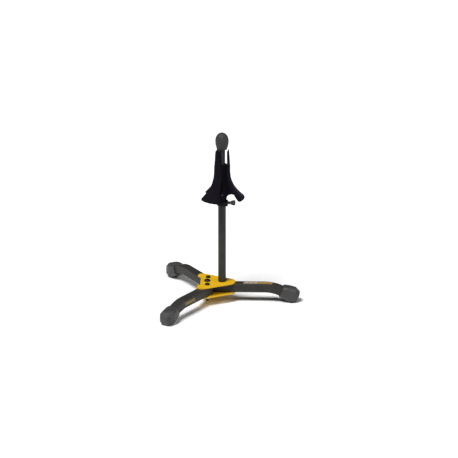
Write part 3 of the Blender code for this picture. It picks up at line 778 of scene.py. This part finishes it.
def make_fasteners():
    for node in ("front_pivot_bolt", "rear_pivot_bolt", "centre_bolt"):
        make_bolt(node)
    for node in ("front_pivot_nut", "rear_pivot_nut", "centre_nut"):
        make_nut(node)
    make_post_bolt()
    make_hub_screw()
    for node in ("front_pivot_sleeve", "rear_pivot_sleeve", "centre_sleeve", "post_sleeve", "post_plug"):
        give_material(node, ZINC)
    give_material("screw_insert", BRASS)
    give_material("clamp_pad", NYLON)


def give_material(node, material):
    """A CAD node whose shape is right keeps its mesh and takes a better material."""
    obj = frame["nodes"][node]
    obj.data.materials.clear()
    obj.data.materials.append(material)


# ---------------------------------------------------------------- post, collar and thumb screw

def on_post(obj):
    obj.location = (*POST_AXIS, 0)
    return obj


def make_post():
    bore = POST_RADIUS - 1.2 * MM
    edge = 0.5 * MM
    profile = [
        (bore, POST_TOP), (POST_RADIUS - edge, POST_TOP), (POST_RADIUS, POST_TOP - edge),
        (POST_RADIUS, POST_LOW + edge), (POST_RADIUS - edge, POST_LOW), (bore, POST_LOW)]
    post = on_post(lathe("post_tube", profile, CHARCOAL, 96, closed=True))
    dress(post, "base", "charcoal_paint", "post")


def make_collar():
    """The ring with its square boss, rounded as a moulding is."""
    low, high = (Vector(corner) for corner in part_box("clamp_collar"))
    radius = (high.y - low.y) / 2
    reach = high.x - POST_AXIS[0]
    edge = 0.9 * MM
    rim = [(radius - edge, high.z), *[
        (radius - edge + edge * math.sin(math.radians(a)), high.z - edge + edge * math.cos(math.radians(a)))
        for a in (30, 60, 90)]]
    foot = [(r, low.z + high.z - z) for r, z in reversed(rim)]
    collar = lathe("clamp_collar_moulding", [(0, high.z), *rim, *foot, (0, low.z)], DARK_PLASTIC, 96)
    square = [(3.4 * MM, -9.4 * MM), (reach, -9.4 * MM), (reach, 9.4 * MM), (3.4 * MM, 9.4 * MM)]
    boss = prism("boss", square, low.z, high.z - 0.15 * MM, DARK_PLASTIC)
    soften(boss, 1.3 * MM, 4)
    apply_modifiers(boss)
    combine(collar, boss, "UNION")
    bore = lathe("bore", [
        (0, high.z + MM), (POST_RADIUS + 0.15 * MM, high.z + MM), (POST_RADIUS + 0.15 * MM, low.z - MM),
        (0, low.z - MM)], DARK_PLASTIC, 96)
    combine(collar, bore, "DIFFERENCE")
    screw_z = JOINTS["thumb_screw_turn"]["pos_m"][2]
    seat = lathe("seat", [(0, 0.03), (3.7 * MM, 0.03), (3.7 * MM, 0.0), (0, 0.0)], DARK_PLASTIC, 48)
    seat.data.transform(Matrix.Translation((0, 0, screw_z)) @ Matrix.Rotation(math.pi / 2, 4, "Y"))
    combine(collar, seat, "DIFFERENCE")
    on_post(collar)
    dress(collar, "base", "dark_plastic", "clamp_collar")


def make_thumb_screw():
    """A threaded shank with a flange and a ribbed, fan-shaped grip."""
    low, high = (Vector(corner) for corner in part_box("thumb_screw"))
    screw_z = JOINTS["thumb_screw_turn"]["pos_m"][2]
    tip = low.x - POST_AXIS[0]
    end = high.x - POST_AXIS[0]
    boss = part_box("clamp_collar")[1][0] - POST_AXIS[0]
    shank = 2.45 * MM
    thread = [(r, -z) for r, z in thread_profile(shank, -tip - 0.5 * MM, -(boss + 1.0 * MM))]
    grip_start = end - 9.6 * MM
    profile = [
        (0, grip_start + 3 * MM), (1.6 * MM, grip_start + 3 * MM), (2.4 * MM, grip_start + 0.6 * MM),
        (2.5 * MM, boss + 3.2 * MM), (3.6 * MM, boss + 2.5 * MM), (3.8 * MM, boss + 2.2 * MM),
        (3.8 * MM, boss + 1.5 * MM), (3.5 * MM, boss + 1.2 * MM), (shank, boss + 1.1 * MM),
        *reversed(thread), (shank - 0.6 * MM, tip), (0, tip)]
    screw = lathe("thumb_screw_moulding", profile, GRIP_PLASTIC, 64)
    half_end = 5.15 * MM
    tip_arc = arc((end - 9 * MM, 0), 9 * MM, -25, 25, 12)
    fan = [
        (grip_start, -2.4 * MM), (grip_start + 1.6 * MM, -3.9 * MM), (end - 2 * MM, -half_end),
        *[(x, y * half_end / (9 * MM * math.sin(math.radians(25))) * 0.92) for x, y in tip_arc],
        (end - 2 * MM, half_end), (grip_start + 1.6 * MM, 3.9 * MM), (grip_start, 2.4 * MM)]
    grip = prism("grip", fan, -2.1 * MM, 2.1 * MM, GRIP_PLASTIC, 0.9 * MM, 4)
    for side in (-1, 1):
        for i in range(4):
            groove_x = end - (2.0 + 1.35 * i) * MM
            groove = prism("groove", [
                (groove_x - 0.3 * MM, -3.2 * MM), (groove_x + 0.3 * MM, -3.2 * MM),
                (groove_x + 0.3 * MM, 3.2 * MM), (groove_x - 0.3 * MM, 3.2 * MM)],
                1.75 * MM, 2.6 * MM, GRIP_PLASTIC)
            if side < 0:
                groove.data.transform(Matrix.Rotation(math.pi, 4, "X"))
            combine(grip, groove, "DIFFERENCE")
    grip.data.transform(Matrix.Rotation(math.pi / 2, 4, "X"))
    screw.data.transform(Matrix.Rotation(math.pi / 2, 4, "Y"))
    combine(screw, grip, "UNION")
    screw.location = (*POST_AXIS, screw_z)
    dress(screw, "thumb_screw", "dark_plastic", "thumb_screw")


# ---------------------------------------------------------------- peg

PETAL_PROFILE = (                 # outer radius and height in mm, and half angle, from the tip to the foot
    (13.4, 306.5, 31), (14.0, 299, 33), (14.7, 289, 33), (15.2, 281, 33), (15.4, 278, 34),
    (15.6, 275.5, 37), (15.8, 272, 40), (15.8, 264, 40), (16.2, 257, 40), (17.0, 251, 39),
    (18.8, 245, 36), (21.1, 239, 32), (24.2, 233, 31), (28.6, 226.8, 31), (33.8, 220.7, 32),
    (39.6, 214.8, 32), (42.6, 212.0, 33), (44.2, 210.6, 33),
)
PETAL_NODES = ("petal_right", "petal_front", "petal_rear")
PETAL_THICKNESS = 3.0 * MM
TIP_THINNING = 1.5 * MM
THINNING_LOW, THINNING_RISE = 279 * MM, 26 * MM
FOOT_ROUND, TIP_ROUND = 7.0 * MM, 3.0 * MM
WEB_THICKNESS = 3.0 * MM
HUB_RADIUS = 10.0 * MM
HUB_FOOT_RADIUS = 8.7 * MM
HUB_TAPER_TOP = 214 * MM


def smooth_path(points, count):
    """Evenly spaced points along a Catmull-Rom curve through the given ones, each with its tangent."""
    points = [Vector(p) for p in points]
    ends = [points[0] * 2 - points[1], *points, points[-1] * 2 - points[-2]]
    dense = []
    for a, b, c, d in zip(ends, ends[1:], ends[2:], ends[3:]):
        for i in range(24):
            t = i / 24
            dense.append(0.5 * (
                2 * b + (c - a) * t + (2 * a - 5 * b + 4 * c - d) * t * t + (3 * b - a - 3 * c + d) * t ** 3))
    dense.append(points[-1])
    lengths = [0.0]
    for a, b in zip(dense, dense[1:]):
        lengths.append(lengths[-1] + (b - a).length)
    total = lengths[-1]
    path = []
    j = 0
    for i in range(count + 1):
        want = total * i / count
        while j < len(lengths) - 2 and lengths[j + 1] < want:
            j += 1
        share = (want - lengths[j]) / max(lengths[j + 1] - lengths[j], 1e-9)
        path.append((dense[j].lerp(dense[j + 1], share), (dense[j + 1] - dense[j]).normalized(), want))
    return path, total


def petal_half_angle(height):
    """Half of the angle that a petal covers at a height, in radians."""
    for (_, high, deg_high), (_, low, deg_low) in zip(PETAL_PROFILE, PETAL_PROFILE[1:]):
        if height >= low * MM:
            share = max(0.0, (high * MM - height) / ((high - low) * MM))
            return math.radians(deg_high + share * (deg_low - deg_high))
    return math.radians(PETAL_PROFILE[-1][2])


def petal_shell(bm):
    """The petal's blade: a rounded leaf wrapped on a bell, thinner at the finger's tip."""
    path, total = smooth_path([(r * MM, z * MM) for r, z, _ in PETAL_PROFILE], 110)
    columns = 36
    outer, inner = [], []
    for point, tangent, along in path:
        radius, height = point
        half_width = radius * petal_half_angle(height)
        from_foot, from_tip = total - along, along
        for distance, rounding in ((from_foot, FOOT_ROUND), (from_tip, TIP_ROUND)):
            if distance < rounding:
                half_width -= rounding - math.sqrt(max(rounding ** 2 - (rounding - distance) ** 2, 0.0))
        half_width = max(half_width, 0.3 * MM)
        thinning = max(0.0, min(1.0, (height - THINNING_LOW) / THINNING_RISE))
        full = PETAL_THICKNESS - TIP_THINNING * thinning
        normal = Vector((-tangent.y, tangent.x))
        if normal.x < 0:
            normal = -normal
        outer_row, inner_row = [], []
        for i in range(columns + 1):
            share = math.sin(math.pi * (i / columns - 0.5))
            angle = share * half_width / radius
            edge = min((1 - abs(share)) * half_width, from_foot, from_tip)
            swell = math.sqrt(max(0.0, 1 - (1 - min(edge / (full * 0.5), 1.0)) ** 2))
            for row, depth in ((outer_row, full * 0.5 * (1 - swell)), (inner_row, full * 0.5 * (1 + swell))):
                r = radius - normal.x * depth
                z = height - normal.y * depth
                row.append(bm.verts.new((r * math.cos(angle), r * math.sin(angle), z)))
        outer.append(outer_row)
        inner.append(inner_row)
    for rows in (outer, inner):
        for first, second in zip(rows, rows[1:]):
            for i in range(columns):
                bm.faces.new((first[i], first[i + 1], second[i + 1], second[i]))
    for first, second in zip(range(len(outer) - 1), range(1, len(outer))):
        for i in (0, columns):
            bm.faces.new((outer[first][i], outer[second][i], inner[second][i], inner[first][i]))
    for end in (0, -1):
        for i in range(columns):
            bm.faces.new((outer[end][i], outer[end][i + 1], inner[end][i + 1], inner[end][i]))


def web_outline():
    """A petal's web, in (radius, height): up the hub, down inside the petal, and an arch below."""
    down_petal = [
        ((radius - 1.6) * MM, height * MM) for radius, height, _ in PETAL_PROFILE if 214 < height < 276]
    arch = arc((19 * MM, 206 * MM), 11 * MM, 42, 138, 16)
    return [*down_petal, *arch, (HUB_RADIUS - MM, 210.5 * MM), (HUB_RADIUS - MM, 270 * MM)]


def make_petal_mesh():
    """One petal as a soft velvet form: blade and web fused, smoothed, and roughened by its pile."""
    bm = bmesh.new()
    petal_shell(bm)
    bmesh.ops.remove_doubles(bm, verts=bm.verts, dist=0.02 * MM)
    petal = finish_mesh(bm, "petal_form", VELVET, 180)
    web = prism("web", web_outline(), -WEB_THICKNESS / 2, WEB_THICKNESS / 2, VELVET)
    web.data.transform(Matrix.Rotation(math.pi / 2, 4, "X"))
    combine(petal, web, "UNION")
    remesh = petal.modifiers.new("fuse", "REMESH")
    remesh.mode = "VOXEL"
    remesh.voxel_size = 0.55 * MM
    remesh.use_smooth_shade = True
    smooth = petal.modifiers.new("soft", "SMOOTH")
    smooth.factor = 0.5
    smooth.iterations = 5
    apply_modifiers(petal, 180)
    for vertex in petal.data.vertices:
        fuzz = noise.noise(vertex.co * 900) * 0.10 + noise.noise(vertex.co * 260) * 0.12
        vertex.co += vertex.normal * fuzz * MM
    petal.data.materials.clear()
    petal.data.materials.append(VELVET)
    return petal


def petal_angle(node):
    """Which way a petal points from the post, from the middle of its foot."""
    low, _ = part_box(node)
    mesh = frame["nodes"][node].data
    feet = [v.co.xy for v in mesh.vertices if v.co.z < low[2] + 8 * MM]
    centre = sum(feet, Vector((0, 0))) / len(feet) - Vector(POST_AXIS)
    return math.atan2(centre.y, centre.x)


def make_petals():
    form = make_petal_mesh()
    for node in PETAL_NODES:
        petal = bpy.data.objects.new(node + "_velvet", form.data.copy())
        bpy.context.scene.collection.objects.link(petal)
        petal.matrix_world = (
            Matrix.Translation((*POST_AXIS, 0)) @ Matrix.Rotation(petal_angle(node), 4, "Z"))
        dress(petal, "base", "velvet", node)
    bpy.data.objects.remove(form, do_unlink=True)


def make_hub():
    """The hub's velvet sleeve, with its rolled rim round the rod."""
    low, high = (Vector(corner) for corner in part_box("peg_hub"))
    bore = ROD_RADIUS + 0.25 * MM
    rim = [(HUB_RADIUS - 1.6 * MM + 1.6 * MM * math.sin(math.radians(a)),
            high.z - 1.6 * MM + 1.6 * MM * math.cos(math.radians(a))) for a in range(0, 91, 15)]
    side = [(HUB_RADIUS, high.z - 2 * MM - i * 2 * MM) for i in range(28)]
    foot = HUB_FOOT_RADIUS
    taper = [
        (HUB_RADIUS - (HUB_RADIUS - foot) * (0.5 - 0.5 * math.cos(math.pi * i / 6)),
         HUB_TAPER_TOP - i * 1.4 * MM)
        for i in range(7)]
    wide_bore = POST_RADIUS + 0.2 * MM
    step = POST_TOP + 0.3 * MM
    profile = [
        (bore, high.z - 0.8 * MM), (bore + 0.8 * MM, high.z), *rim, *side, *taper, (foot, low.z + 0.4 * MM),
        (foot - 0.4 * MM, low.z), (wide_bore, low.z), (wide_bore, step), (bore, step)]

    def pile(angle, height):
        around = Vector((math.cos(angle), math.sin(angle), 0)) * HUB_RADIUS + Vector((0, 0, height))
        return noise.noise(around * 700) * 0.08 * MM

    hub = on_post(lathe("peg_hub_velvet", profile, VELVET, 120, closed=True, bend=pile, sharp_deg=60))
    dress(hub, "base", "velvet", "peg_hub")


# ---------------------------------------------------------------- head

def make_head():
    low, high = (Vector(corner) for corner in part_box("head_rod"))
    radius = (high.x - low.x) / 2
    edge = 0.5 * MM
    bore = radius - 1.2 * MM
    rod = on_post(lathe("head_rod_tube", [
        (bore, high.z), (radius - edge, high.z), (radius, high.z - edge), (radius, low.z + edge),
        (radius - edge, low.z), (bore, low.z)], ROD_GREY, 96, closed=True))
    dress(rod, "head", "rod_paint", "head_rod")

    low, high = (Vector(corner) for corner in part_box("rubber_head"))
    knots = (
        (0, 340), (4.2, 339.1), (8.2, 336.2), (11.0, 332.2), (12.5, 327.6), (12.8, 323),
        (12.5, 318.5), (11.6, 313.8), (10.5, 309.8), (9.6, 307.6))
    path, _ = smooth_path([(r * MM, z * MM) for r, z in knots], 60)
    skin = [(max(point.x, 0.0), min(point.y, high.z)) for point, _, _ in path]
    lip = [(9.2 * MM, low.z + 0.25 * MM), (8.6 * MM, low.z), (radius + 0.5 * MM, low.z),
           (radius + 0.2 * MM, low.z + 0.4 * MM), (radius + 0.2 * MM, low.z + 17 * MM), (0, low.z + 17 * MM)]

    def seam(angle, height):
        """A faint mould seam down two opposite sides."""
        off = abs(math.sin(angle - 0.9))
        return 0.12 * MM * max(0.0, 1 - off / 0.03) if height > low.z + MM else 0.0

    head = on_post(lathe("rubber_head_moulding", [(0, high.z), *skin[1:], *lip], HEAD_RUBBER, 192, bend=seam))
    dress(head, "head", "head_rubber", "rubber_head")


# ---------------------------------------------------------------- build

make_camera()
make_studio()
make_plates()
make_legs()
make_fasteners()
make_post()
make_collar()
make_thumb_screw()
make_petals()
make_hub()
make_head()
